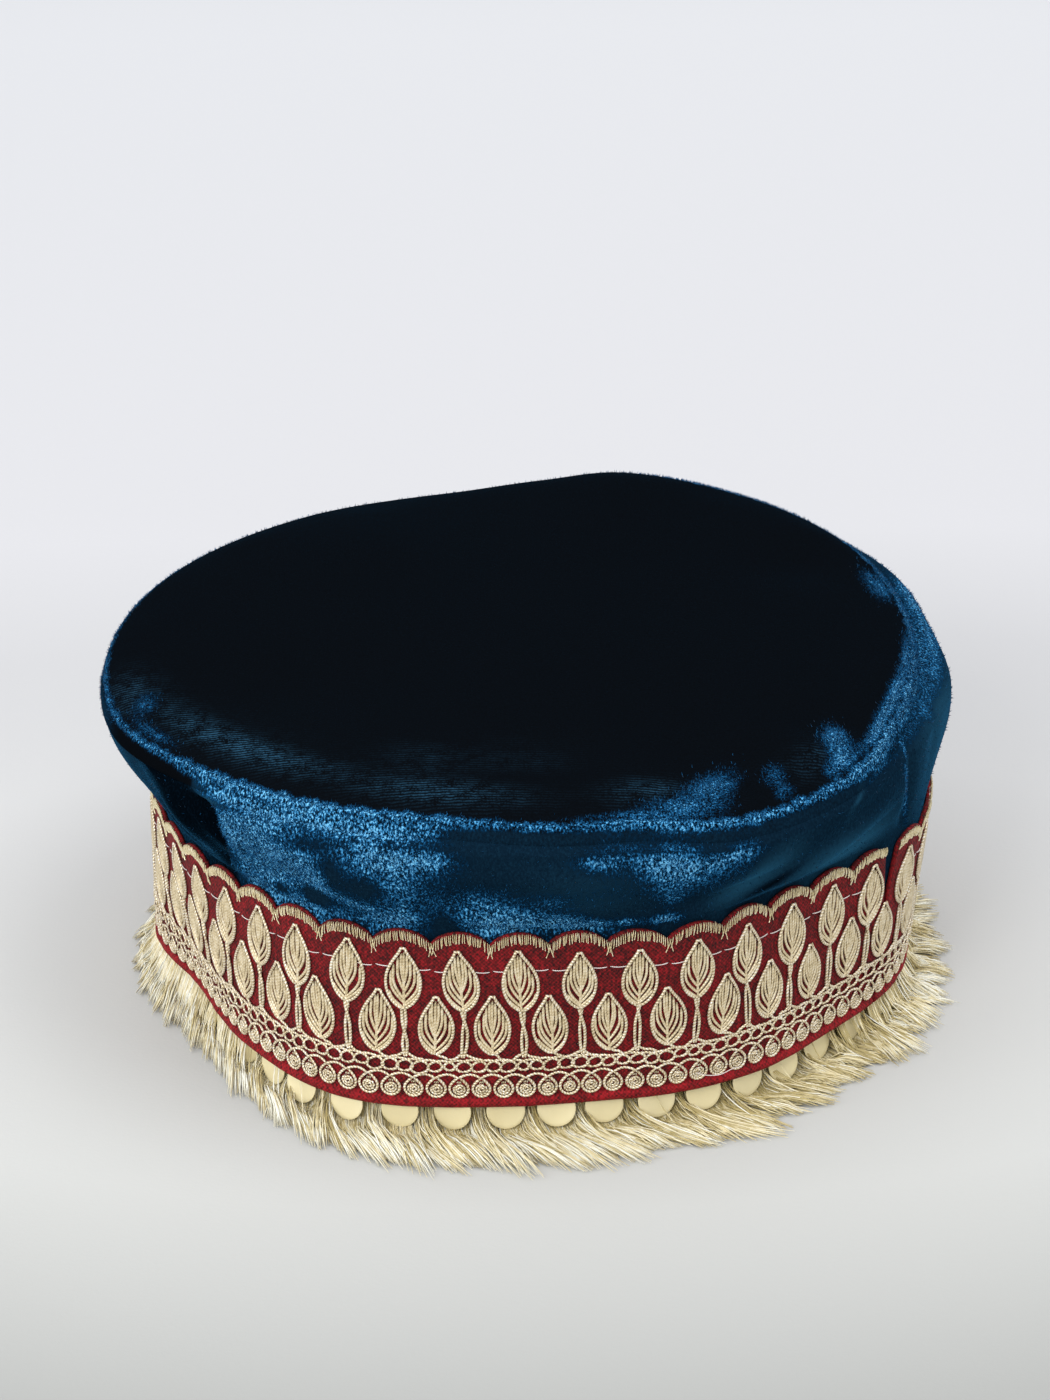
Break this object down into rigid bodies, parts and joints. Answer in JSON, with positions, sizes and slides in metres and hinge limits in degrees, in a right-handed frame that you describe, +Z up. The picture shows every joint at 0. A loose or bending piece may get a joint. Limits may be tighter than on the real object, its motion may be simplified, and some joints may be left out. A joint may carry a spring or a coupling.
{
  "type": "kashmiri velvet cap",
  "caption": "Soft round pillbox cap of crushed velvet with a flat puffed top, an embroidered scalloped trim round the wall, round spangles and a thread fringe below the hem.",
  "frame": {"origin": "middle of the cap's footprint on the surface that it rests on", "axes": "+Z up through the crown; -Y is the front; the trim's join is to the right of the front, towards +X"},
  "size_m": [0.2081, 0.2136, 0.0889],
  "materials": {
    "tip_velvet": "velvet pile, near-black navy seen from above, matt with a faint blue sheen at the edge",
    "side_velvet": "crushed velvet, dark teal with brighter blue patches and a fuzzy sheen on its folds",
    "red_lace": "plain-woven crimson ground cloth, matt",
    "zari_cord": "pale gold metal-wrapped cord and satin stitches, soft metallic glints",
    "running_thread": "off-white sewing thread",
    "fringe_thread": "loose pale gold metallic thread, glossy along the strands",
    "spangle_foil": "satin cream-gold stamped plastic spangle"
  },
  "bodies": {
    "root": {"crown_tip": "tip_velvet", "crown_side": "side_velvet", "trim_band": "red_lace", "fringe": "fringe_thread", "spangles_front": "spangle_foil", "spangles_right": "spangle_foil", "spangles_back": "spangle_foil", "spangles_left": "spangle_foil"}
  },
  "joints": []
}
